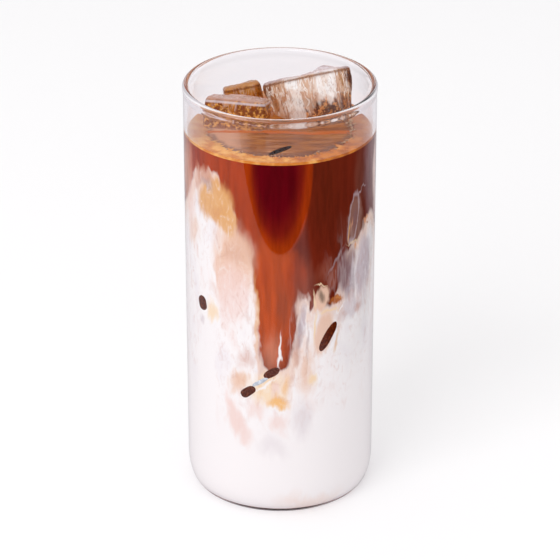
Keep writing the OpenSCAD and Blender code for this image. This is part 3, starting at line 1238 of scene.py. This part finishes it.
@dataclass
class Tumbler:
    """The glass: a straight thin wall, a rounded foot with a hollow under it, a fire-polished bead."""

    height: float
    widest_r: float
    taper: float = 0.33
    wall: float = 1.6
    floor: float = 3.0
    foot_reach: float = 4.0
    foot_rise: float = 10.8
    inner_reach: float = 5.0
    inner_rise: float = 9.0
    punt_r: float = 22.0
    punt_edge: float = 1.5
    punt_depth: float = 0.6
    bead_out: float = 0.25
    bead_in: float = 0.35
    shoulder: float = 2.6
    steps: int = 192

    @property
    def foot_r(self) -> float:
        """Outer radius of the wall at the top of the foot."""
        rise = (self.bead_z - self.foot_rise) / (self.height - self.foot_rise)
        return self.widest_r - self.bead_out - self.taper * rise

    @property
    def bead_half(self) -> float:
        """Half the bead's thickness."""
        return (self.wall + self.bead_out + self.bead_in) / 2

    @property
    def bead_z(self) -> float:
        """Height of the bead's widest point."""
        return self.height - self.bead_half

    def outer_r(self, z: float) -> float:
        """Outer radius of the straight wall at a height."""
        return self.foot_r + self.taper * (z - self.foot_rise) / (self.height - self.foot_rise)

    def inner_r(self, z: float) -> float:
        """Inner radius of the straight wall at a height."""
        return self.outer_r(z) - self.wall

    def foot_arc(self, radius: float, z: float, reach: float, rise: float, steps: int = 14) -> Outline:
        """Points of a rounded corner, from its flat to its wall."""
        angles = [math.pi / 2 * i / steps for i in range(steps + 1)]
        return [(radius - reach + reach * math.sin(a), z + rise * (1 - math.cos(a))) for a in angles]

    def shoulder_arc(self, side: int, reach: float, steps: int = 8) -> Outline:
        """Points that ease the wall into the bead.

        Args:
            side: 1 outside and -1 inside.
            reach: how far the bead stands out there.
            steps: how many steps the curve has.

        Returns:
            The points, from the wall up.
        """
        points = []
        for i in range(steps + 1):
            z = self.bead_z - self.shoulder * (1 - i / steps)
            start = self.outer_r(z) if side > 0 else self.inner_r(z)
            points.append((start + side * reach * (1 - math.cos(math.pi * i / steps)) / 2, z))
        return points

    def crown(self, steps: int = 16) -> Outline:
        """Points over the top of the bead, from the outside to the inside.

        Args:
            steps: how many steps the curve has.

        Returns:
            The points.
        """
        middle = self.outer_r(self.bead_z) + self.bead_out - self.bead_half
        angles = [math.pi * i / steps for i in range(1, steps)]
        return [
            (
                middle + self.bead_half * math.cos(a), self.bead_z + self.bead_half * math.sin(a)
            ) for a in angles
        ]

    def outline(self) -> Outline:
        """The whole section, from under the foot over the rim to the inside of the floor.

        Returns:
            The (radius, height) points.
        """
        inner_foot = self.foot_arc(
            self.inner_r(self.foot_rise), self.floor, self.inner_reach, self.inner_rise
        )
        return (
            [(0, self.punt_depth), (self.punt_r - self.punt_edge, self.punt_depth), (self.punt_r, 0)]
            + self.foot_arc(self.foot_r, 0, self.foot_reach, self.foot_rise)
            + self.shoulder_arc(1, self.bead_out)
            + self.crown()
            + self.shoulder_arc(-1, self.bead_in)[::-1]
            + inner_foot[::-1]
            + [(0, self.floor)]
        )

    def build(self) -> bpy.types.Object:
        """Makes and dresses the glass.

        Returns:
            The piece.
        """
        piece = revolve("tumbler", self.outline(), self.steps, BorosilicateGlass().make(), 50.0)
        hand_over(piece, Slot.GLASS, "glass")
        return piece


# ---------------------------------------------------------------- the drink


@dataclass
class Drink:
    """Milk and coffee as one body, which reaches just into the wall so that no air gap shows."""

    glass: Tumbler
    level: float
    bite: float = 0.12
    floor_bite: float = 1.6
    foot_reach: float = 4.3
    rows: int = 24
    surface_rings: int = 12
    steps: int = 160

    def outline(self) -> Outline:
        """The section from the middle of the floor up the wall to the middle of the surface.

        Returns:
            The (radius, height) points.
        """
        glass = self.glass
        low = glass.floor - self.floor_bite
        foot_r = glass.inner_r(glass.foot_rise) + self.bite
        foot = glass.foot_arc(foot_r, low, self.foot_reach, glass.foot_rise - low)
        wall = []
        for i in range(1, self.rows + 1):
            z = glass.foot_rise + (self.level - glass.foot_rise) * i / self.rows
            wall.append((glass.inner_r(z) + self.bite, z))
        rings = self.surface_rings
        top = [(wall[-1][0] * k / rings, self.level) for k in range(rings - 1, 0, -1)]
        return [(0, low)] + foot + wall + top + [(0, self.level)]

    def slot_of(self, face: bpy.types.MeshPolygon) -> int:
        """Finds a face's finish: the sectors of the side come first, then the surface, then the floor.

        Args:
            face: a face of the drink's mesh.

        Returns:
            The finish's number on the piece.
        """
        if face.normal.z > 0.7:
            return len(Sector)
        if face.normal.z < -0.9:
            return len(Sector) + 1
        turn = math.degrees(math.atan2(face.center.x, -face.center.y))
        for index, sector in enumerate(Sector):
            low, high = sector.value
            if low <= turn < high or low <= turn + 360 < high:
                return index
        return 0

    def build(self) -> bpy.types.Object:
        """Makes the drink and dresses its side in sectors, and its surface and floor on their own.

        Returns:
            The piece.
        """
        finish = MilkAndCoffee(self.glass.inner_r(self.level), self.level)
        finishes = [finish.make(sector) for sector in Sector]
        piece = revolve("milk_and_coffee", self.outline(), self.steps, finishes[0])
        for made in (*finishes[1:], EspressoSurface().make(), FootShade().make()):
            piece.data.materials.append(made)
        for face in piece.data.polygons:
            face.material_index = self.slot_of(face)
        hand_over(piece, Slot.COFFEE, "milk", "coffee")
        return piece


@dataclass(frozen=True)
class Touch:
    """A place where sunk ice touches the wall.

    azimuth is in degrees and height in millimetres. lean tilts its length in degrees, and a positive one
    leans its top to the right. length and width are how much of it shows, in millimetres. A clear one has
    no coffee behind it.
    """

    name: str
    azimuth: float
    height: float
    lean: float
    length: float
    width: float
    clear: bool = False


@dataclass
class SunkIce:
    """Ice under the surface. Only where a cube's edge touches the wall does it show, as a dark slim oval.

    The ovals reach proud of the drink's side by proud, and the sliver in the surface by surface_proud.
    """

    drink: Drink
    proud: float = 0.35
    surface_proud: float = 0.3
    thick: float = 1.2
    steps: int = 40
    touches: tuple[Touch, ...] = (
        Touch("left", -55.8, 76.2, -12, 4.9, 4.2),
        Touch("right", 31.2, 68.0, 29, 9.2, 3.4),
        Touch("low_left", -20.2, 47.9, 46, 5.3, 3.2),
        Touch("low_right", -5.3, 56.0, 55, 5.2, 2.9),
        Touch("low_edge", -12.2, 52.3, 55, 5.4, 1.5, clear=True),
        Touch("back_left", -142, 66, 30, 8.0, 2.8),
        Touch("back_right", 128, 84, -24, 9.0, 2.8),
        Touch("side_right", 92, 58, 70, 6.0, 2.6),
    )
    # Ovals below this height look into milk, so they are a little paler
    pale_below: float = 60.0
    surface_place: tuple[float, float] = (0.0, -18.9)
    surface_turn: float = 46.0
    surface_length: float = 9.4
    surface_width: float = 2.8

    def chip(
        self,
        name: str,
        centre: Vector,
        along: Vector,
        out: Vector,
        length: float,
        width: float,
        deep: float,
    ) -> bpy.types.Object:
        """One melted edge: a rounded, slightly uneven lens.

        Args:
            name: the piece's name.
            centre: the lens's middle in millimetres.
            along: the direction of its length.
            out: the direction that it shows towards.
            length: how long it shows.
            width: how wide it shows.
            deep: how far its middle lies behind the surface it shows through.

        Returns:
            The object.
        """
        side = out.cross(along)
        half = self.thick
        # The part that stands proud of the surface is as long and wide as asked for
        grow = 1 / math.sqrt(max(1e-6, 1 - (deep / half) ** 2))
        points, faces = [], []
        rows = self.steps // 2
        for j in range(1, rows):
            polar = math.pi * j / rows
            for i in range(self.steps):
                turn = TAU * i / self.steps
                x, y = math.sin(polar) * math.cos(turn), math.sin(polar) * math.sin(turn)
                z = math.cos(polar)
                # Flattened ends, as a worn edge has
                x = math.copysign(abs(x) ** 0.72, x)
                wave = 1 + 0.10 * noise.noise(Vector((x * 1.5, y, z)) + centre * 0.37)
                lengthways = along * x * length / 2 * grow * wave
                sideways = side * y * width / 2 * grow * wave
                points.append(centre + lengthways + sideways + out * z * half)
        points.append(centre + out * half)
        points.append(centre - out * half)
        for j in range(rows - 2):
            for i in range(self.steps):
                k = (i + 1) % self.steps
                low, high = j * self.steps, (j + 1) * self.steps
                faces.append((low + i, high + i, high + k, low + k))
        last = (rows - 2) * self.steps
        for i in range(self.steps):
            k = (i + 1) % self.steps
            faces.append((len(points) - 2, i, k))
            faces.append((len(points) - 1, last + k, last + i))
        return mesh_piece(name, points, faces)

    def build(self) -> None:
        """Makes and dresses every touch."""
        dark = IceOverCoffee("4A1604", "6A2C10").make()
        low = IceOverCoffee("4A1A0A", "6A3420").make()
        clear = IceOverCoffee("B4BCC8", "DCE2E8").make()
        for touch in self.touches:
            a = math.radians(touch.azimuth)
            out = Vector((math.sin(a), -math.cos(a), 0))
            across = Vector((math.cos(a), math.sin(a), 0))
            tilt = math.radians(touch.lean)
            along = (across * math.sin(tilt) + Vector((0, 0, 1)) * math.cos(tilt)).normalized()
            deep = self.thick - self.proud
            wall = self.drink.glass.inner_r(touch.height) + self.drink.bite
            centre = out * (wall - deep) + Vector((0, 0, touch.height))
            name = "sunk_ice_" + touch.name
            piece = self.chip(name, centre, along, out, touch.length, touch.width, deep)
            finish = low if touch.height < self.pale_below else dark
            piece.data.materials.append(clear if touch.clear else finish)
            hand_over(piece, Slot.ICE)
        turn = math.radians(self.surface_turn)
        deep = self.thick - self.surface_proud
        centre = Vector((*self.surface_place, self.drink.level - deep))
        piece = self.chip(
            "sunk_ice_surface",
            centre,
            Vector((math.cos(turn), math.sin(turn), 0)),
            Vector((0, 0, 1)),
            self.surface_length,
            self.surface_width,
            deep,
        )
        piece.data.materials.append(IceOverCoffee("140402", "3A160A").make())
        hand_over(piece, Slot.ICE)


@dataclass
class CremaRing:
    """Ring of crema along the wall: domed, with a ragged inner edge."""

    glass: Tumbler
    level: float
    top: float
    width: float = 5.6
    swell: float = 0.9
    tooth: float = 1.6
    bite: float = 0.12
    sink: float = 0.4
    steps: int = 900
    rows: int = 12

    def inner_edge(self, a: float) -> float:
        """Radius of the inner edge: a slow swell with uneven teeth.

        Args:
            a: the angle from the front, in radians.

        Returns:
            The radius in millimetres.
        """
        spot = Vector((math.sin(a), math.cos(a), 0))
        slow = noise.noise(spot * 1.7 + Vector((3, 1, 7)))
        fast = noise.noise(spot * 22 + Vector((9, 4, 2)))
        fine = noise.noise(spot * 62 + Vector((1, 8, 5)))
        teeth = self.tooth * (max(0, fast) * 1.7 + 1.9 * max(0, fine))
        width = self.width + self.swell * 1.6 * slow + teeth
        return self.glass.inner_r(self.level) - width

    def build(self) -> bpy.types.Object:
        """Makes and dresses the ring.

        Returns:
            The piece.
        """
        outer = self.glass.inner_r(self.level) + self.bite
        low = self.level - self.sink
        points, faces = [], []
        for i in range(self.steps):
            a = TAU * i / self.steps
            inner = self.inner_edge(a)
            for k in range(self.rows + 1):
                t = k / self.rows
                radius = inner + (outer - inner) * t
                bulge = (1 - (1 - min(1, t * 3)) ** 2) ** 0.5
                spot = Vector((radius * math.sin(a), -radius * math.cos(a), 0))
                lump = 0.12 * noise.noise(spot * 0.55) + 0.08 * noise.noise(spot * 1.6)
                z = self.level + 0.02 + (self.top - self.level - 0.2) * bulge * (0.75 + lump * 2)
                # It climbs the wall a little
                z += 0.8 * max(0, t - 0.75)
                points.append((spot.x, spot.y, min(z, self.top)))
            points.append((outer * math.sin(a), -outer * math.cos(a), low))
            points.append((inner * math.sin(a), -inner * math.cos(a), low))
        per = self.rows + 3
        for i in range(self.steps):
            j = (i + 1) % self.steps
            for k in range(per):
                m = (k + 1) % per
                faces.append((i * per + k, i * per + m, j * per + m, j * per + k))
        piece = mesh_piece("crema_ring", points, faces, 60.0)
        piece.data.materials.append(CremaFoam().make())
        hand_over(piece, Slot.CREMA, "crema")
        return piece


@dataclass
class SurfaceBubbles:
    """Bubbles in the film beside the crema, crowded where the right ice block meets the wall.

    They lie on a strip that reaches reach_in millimetres inwards from overlap millimetres over the crema's
    edge. crowd_at and crowd_half give the crowd's middle and half width in degrees.
    """

    ring: CremaRing
    overlap: float = 0.6
    reach_in: float = 3.4
    crowd_at: float = 100.0
    crowd_half: float = 26.0
    per_mm2: float = 1.5
    smallest: float = 0.16
    largest: float = 0.5
    strip_steps: int = 240
    strip_rows: int = 3
    seed: int = 11

    def bed(self) -> bpy.types.Object:
        """A strip of the surface inside the crema's edge, with how crowded the bubbles are on it.

        Returns:
            The strip.
        """
        steps, rows = self.strip_steps, self.strip_rows
        outer = self.ring.glass.inner_r(self.ring.level) - self.ring.width + self.overlap
        points, faces, crowd = [], [], []
        for i in range(steps):
            a = TAU * i / steps
            off = (math.degrees(a) - self.crowd_at) / self.crowd_half
            for k in range(rows + 1):
                radius = outer - self.reach_in * k / rows
                points.append((radius * math.sin(a), -radius * math.cos(a), self.ring.level + 0.05))
                crowd.append((0.08 + 0.92 * math.exp(-off * off)) * (1 - 0.7 * k / rows))
        per = rows + 1
        for i in range(steps):
            j = (i + 1) % steps
            for k in range(rows):
                faces.append((i * per + k, i * per + k + 1, j * per + k + 1, j * per + k))
        strip = mesh_piece("film_bubbles", points, faces)
        strip.data.attributes.new("crowd", "FLOAT", "POINT").data.foreach_set("value", crowd)
        return strip

    def tree(self) -> bpy.types.GeometryNodeTree:
        """The tree that scatters round bubbles of random size over the strip.

        Returns:
            The tree.
        """
        tree, given = new_tree(
            "bubbles_on_film",
            {
                "Strip": "NodeSocketGeometry",
                "Per square metre": "NodeSocketFloat",
                "Smallest": "NodeSocketFloat",
                "Largest": "NodeSocketFloat",
                "Seed": "NodeSocketInt",
                "Bubble finish": "NodeSocketMaterial",
            },
        )
        crowd = add_node(tree, "GeometryNodeInputNamedAttribute", {"Name": "crowd"}, data_type="FLOAT")
        density = add_node(
            tree, MATH, {0: crowd.outputs[0], 1: given["Per square metre"]}, operation="MULTIPLY"
        )
        spots = add_node(
            tree,
            "GeometryNodeDistributePointsOnFaces",
            {"Mesh": given["Strip"], "Density": density, "Seed": given["Seed"]},
        )
        ball = add_node(tree, "GeometryNodeMeshIcoSphere", {"Radius": 1.0, "Subdivisions": 3})
        size = add_node(
            tree,
            "FunctionNodeRandomValue",
            {2: given["Smallest"], 3: given["Largest"], "Seed": given["Seed"]},
            data_type="FLOAT",
        )
        balls = add_node(
            tree,
            "GeometryNodeInstanceOnPoints",
            {"Points": spots.outputs["Points"], "Instance": ball, "Scale": size.outputs[1]},
        )
        real = add_node(tree, "GeometryNodeRealizeInstances", {"Geometry": balls})
        smooth = add_node(tree, "GeometryNodeSetShadeSmooth", {0: real})
        dressed = add_node(
            tree, "GeometryNodeSetMaterial", {"Geometry": smooth, "Material": given["Bubble finish"]}
        )
        add_node(tree, "NodeGroupOutput", {0: dressed})
        return tree

    def build(self) -> bpy.types.Object:
        """Scatters, dresses and hands over the bubbles.

        Returns:
            The piece.
        """
        values = {
            "Per square metre": self.per_mm2 / MM**2,
            "Smallest": self.smallest * MM,
            "Largest": self.largest * MM,
            "Seed": self.seed,
            "Bubble finish": FilmBubble().make(),
        }
        made = shaped(self.bed(), self.tree(), values)
        hand_over(made, Slot.CREMA)
        return made


# ---------------------------------------------------------------- the ice


@dataclass
class ProudIce:
    """An ice block that stands proud of the drink: the CAD block, melted.

    reach leads from the middle of the CAD block's box to the middle of its upper front edge, and turn is
    how the block is turned, in degrees. widest is the radius that it may not pass, and level the height of
    the drink's surface. Each swell is a place in the block, how far it reaches and its push. All but turn
    are millimetres.
    """

    node: str
    grain: Grain
    reach: Point
    turn: Point
    widest: float
    level: float
    swells: tuple[tuple[Point, float, Point], ...] = ()
    voxel: float = 0.42
    melt: float = 0.5
    weld: float = 0.01
    spare_height: float = 0.1

    def build(self) -> bpy.types.Object:
        """Makes a rounded, slightly dented copy of the CAD block and dresses it.

        Returns:
            The piece.
        """
        name = self.node + "_melted"
        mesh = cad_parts[self.node].data.copy()
        mesh.name = name
        mesh.materials.clear()
        mesh.transform(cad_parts[self.node].matrix_world)
        work = bmesh.new()
        work.from_mesh(mesh)
        bmesh.ops.remove_doubles(work, verts=work.verts, dist=self.weld * MM)
        work.to_mesh(mesh)
        work.free()
        piece = bpy.data.objects.new(name, mesh)
        bpy.context.scene.collection.objects.link(piece)
        remesh = piece.modifiers.new("remesh", "REMESH")
        remesh.mode = "VOXEL"
        remesh.voxel_size = self.voxel * MM
        soften = piece.modifiers.new("soften", "SMOOTH")
        soften.iterations = 4
        graph = bpy.context.evaluated_depsgraph_get()
        melted = bpy.data.meshes.new_from_object(piece.evaluated_get(graph))
        piece.modifiers.clear()
        piece.data = melted
        melted.name = name
        low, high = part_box(self.node)
        corner = (low + high) / 2 / MM + Vector(self.reach)
        inward = Euler([math.radians(t) for t in self.turn]).to_matrix().inverted()
        outward = inward.inverted()
        normals = [v.normal.copy() for v in melted.vertices]
        for v, n in zip(melted.vertices, normals):
            spot = inward @ (v.co / MM - corner)
            for place, reach, push in self.swells:
                share = max(0.0, 1 - (spot - Vector(place)).length / reach)
                v.co += outward @ Vector(push) * (share * share * (3 - 2 * share)) * MM
            flute = Vector((spot.x, spot.y, spot.z * 0.3))
            dent = noise.noise(spot * 0.13)
            dent += 0.45 * noise.noise(flute * 0.5) + 0.2 * noise.noise(flute * 1.1)
            v.co += n * (self.melt * (dent - 0.75)) * MM
            v.co.z = min(v.co.z, high.z + self.spare_height * MM)
            out = math.hypot(v.co.x, v.co.y)
            if out > self.widest * MM:
                v.co.x *= self.widest * MM / out
                v.co.y *= self.widest * MM / out
        melted.polygons.foreach_set("use_smooth", [True] * len(melted.polygons))
        melted.materials.append(ClearIce(self.grain).make(corner, self.turn, self.level))
        hand_over(piece, Slot.ICE, self.node)
        return piece


def ice_blocks(widest: float, level: float) -> list[ProudIce]:
    """The three blocks that stand proud, each with its own grain.

    Args:
        widest: the radius in millimetres that no ice may pass.
        level: the height of the drink's surface in millimetres.

    Returns:
        The blocks, from right to left.
    """
    # White bands and threads are frost and painted highlights at once; painted_glint is a painted highlight
    right = Grain(
        bands=(
            (-14.5, "6E3A1C"), (-13.5, "B98A64"), (-12.2, "E2C2A8"), (-11, "B98660"), (-9.8, "D8B498"),
            (-8.6, "B07C58"), (-7.4, "F4E8E0"), (-5.6, "FFFFFF"), (-3.6, "FFFFFF"), (-2.2, "DDBCA4"),
            (0.5, "DCB89E"), (2.2, "EAD6C8"), (3.6, "FFFFFF"), (5.4, "EFDFD4"), (6.6, "FFFFFF"),
            (8.4, "F6ECE6"), (9.4, "BE8C6C"), (10.6, "E0BEA2"), (11.8, "A8703E"), (12.8, "D8AE8A"),
            (13.8, "8A4E24"), (14.5, "5A2A10"),
        ),
        top="E6DCE4", edge="8E5C3C", deep="5A2608", painted_glint="E8A05A",
        deep_from=-9.5, deep_to=-12.5, deep_left=-3.0, milky=0.38,
    )
    left = Grain(
        bands=(
            (-11, "7A4408"), (-8, "B4700E"), (-5, "8A4C06"), (-2, "C07A12"), (2, "9A5608"), (5, "C88A3C"),
            (7, "9C6428"), (9, "E6C8A0"), (11, "8A5020"),
        ),
        top="D2ACA0", edge="E8E0EA", deep="803A00", painted_glint="FFBE58",
        deep_from=-0.8, deep_to=-2.2, milky=0.6, frost_and_highlight=0.2,
    )
    back = Grain(
        bands=(
            (-7, "A8641C"), (-4, "CC8A44"), (-1, "A05C14"), (2, "D09A58"), (5, "A86420"), (7, "5E2E0A"),
        ),
        top="D09A64", edge="7A3E0C", deep="8E4C0C", painted_glint="F4B468",
        deep_from=-2.0, deep_to=-5.0, milky=0.5, frost_and_highlight=0.25,
    )
    # The right block bulges at both upper corners, and has a peak near the right one
    swells = (
        ((13, 6, -2), 13, (2.6, 0, 0.4)),
        ((5.5, 7, 0), 4.5, (0, 0, 1.6)),
        ((-13, 8, -2), 9, (-1.6, 0, 0.4)),
    )
    return [
        ProudIce("ice_right", right, (-1.95, 0.277, 13.194), (-27, -9, 9), widest, level, swells),
        ProudIce("ice_left", left, (-0.446, -3.669, 11.34), (-15, 1, -10), widest, level),
        ProudIce("ice_back", back, (-0.818, -1.774, 8.318), (-10, -8, 12), widest, level),
    ]


# ---------------------------------------------------------------- the studio


@dataclass
class Studio:
    """Pale floor, soft light and the camera, 26 degrees above the level.

    The mirrored card ends in the dark at front, in y, and softly from right, in x. Further back than
    lit_from it is light again out to its edge.
    """

    aim_z: float
    elevation: float = 25.89
    distance: float = 1109.4
    lens: float = 204.26
    sky: float = 0.8
    lit_z: float = 70.0
    front: float = -230.0
    right: tuple[float, float] = (102.0, 142.0)
    lit_from: tuple[float, float] = (90.0, 260.0)
    card_z: float = 0.3

    def floor(self) -> None:
        """A wide pale floor."""
        half = 3000
        corners = [(-half, -half, 0), (half, -half, 0), (half, half, 0), (-half, half, 0)]
        plane = mesh_piece("studio_floor", corners, [(0, 1, 2, 3)])
        made, tree = new_material("studio_paper")
        paper = add_node(tree, PRINCIPLED, {"Base Color": linear("FBFAFB"), "Roughness": 0.9})
        add_node(tree, "ShaderNodeOutputMaterial", {"Surface": paper})
        plane.data.materials.append(made)

    def mirrored(self) -> None:
        """What the glass mirrors from below: grey paper, and the dark past its front and right edges."""
        half, z = 900, self.card_z
        corners = [(-half, -half, z), (half, -half, z), (half, half, z), (-half, half, z)]
        card = mesh_piece("studio_mirrored_card", corners, [(0, 1, 2, 3)])
        made, tree = new_material("studio_card")
        add = partial(add_node, tree)
        axes = add(AXES, {0: place_in_mm(tree)}).outputs
        beside = add(SPAN, {"Value": axes["X"], "From Min": self.right[1], "From Max": self.right[0]})
        start, end = self.lit_from
        behind = add(SPAN, {"Value": axes["Y"], "From Min": start, "From Max": end})
        lit = add(MATH, {0: beside, 1: behind}, operation="MAXIMUM")
        ahead = add(SPAN, {"Value": axes["Y"], "From Min": self.front - 1, "From Max": self.front + 1})
        lit = add(MATH, {0: lit, 1: ahead}, operation="MULTIPLY")
        colour = add_node(tree, RAMP, {0: lit}, [(0.0, "0A0808"), (1.0, "C8C4C8")])
        surface = add_node(tree, PRINCIPLED, {"Base Color": colour, "Roughness": 1.0})
        add_node(tree, "ShaderNodeOutputMaterial", {"Surface": surface})
        card.data.materials.append(made)
        card.visible_camera = False
        card.visible_diffuse = False
        card.visible_transmission = False
        card.visible_shadow = False

    def light(self) -> None:
        """An even sky and two soft boxes."""
        world = bpy.data.worlds.new("studio")
        world.use_nodes = True
        bpy.context.scene.world = world
        sky = world.node_tree.nodes["Background"]
        sky.inputs["Color"].default_value = linear("FFFFFF")
        sky.inputs["Strength"].default_value = self.sky
        # Each with its place and size in metres and its power in watts
        boxes = (
            ("key", (-0.68, -0.97, 0.93), 0.9, 6.5),
            ("top", (0.0, 0.1, 1.5), 1.2, 3.3),
        )
        for name, spot, size, power in boxes:
            lamp = bpy.data.lights.new(name, "AREA")
            lamp.shape = "SQUARE"
            lamp.size = size
            lamp.energy = power
            holder = bpy.data.objects.new(name, lamp)
            holder.location = spot
            towards = Vector((0, 0, self.lit_z * MM)) - Vector(spot)
            holder.rotation_euler = towards.to_track_quat("-Z", "Y").to_euler()
            bpy.context.scene.collection.objects.link(holder)

    def camera(self) -> None:
        """The camera, aimed a little over the middle of the glass."""
        data = bpy.data.cameras.new("camera")
        data.lens = self.lens
        data.sensor_width = 36
        data.clip_start, data.clip_end = 0.05, 20
        holder = bpy.data.objects.new("camera", data)
        tilt = math.radians(self.elevation)
        away = Vector((0, -math.cos(tilt), math.sin(tilt)))
        holder.location = (away * self.distance + Vector((0, 0, self.aim_z))) * MM
        holder.rotation_euler = (-away).to_track_quat("-Z", "Y").to_euler()
        bpy.context.scene.collection.objects.link(holder)
        bpy.context.scene.camera = holder


def main() -> None:
    """Builds the studio, the glass, the drink and the ice in order."""
    logging.basicConfig(level=logging.INFO)
    scene = bpy.context.scene
    scene.view_settings.view_transform = "Standard"
    glass_low, glass_high = (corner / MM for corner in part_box("glass"))
    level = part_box("coffee")[1].z / MM
    crema_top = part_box("crema")[1].z / MM

    studio = Studio(aim_z=glass_high.z / 2 + AIM_OVER_MIDDLE)
    studio.floor()
    studio.mirrored()
    studio.light()
    studio.camera()

    widest_r = min(-glass_low.x, -glass_low.y, glass_high.x, glass_high.y)
    tumbler = Tumbler(height=glass_high.z, widest_r=widest_r)
    tumbler.build()
    drink = Drink(tumbler, level)
    drink.build()
    SunkIce(drink).build()
    ring = CremaRing(tumbler, level, crema_top)
    ring.build()
    SurfaceBubbles(ring).build()
    for block in ice_blocks(tumbler.inner_r(level) - ICE_TO_WALL, level):
        block.build()


if __name__ == "__main__":
    main()
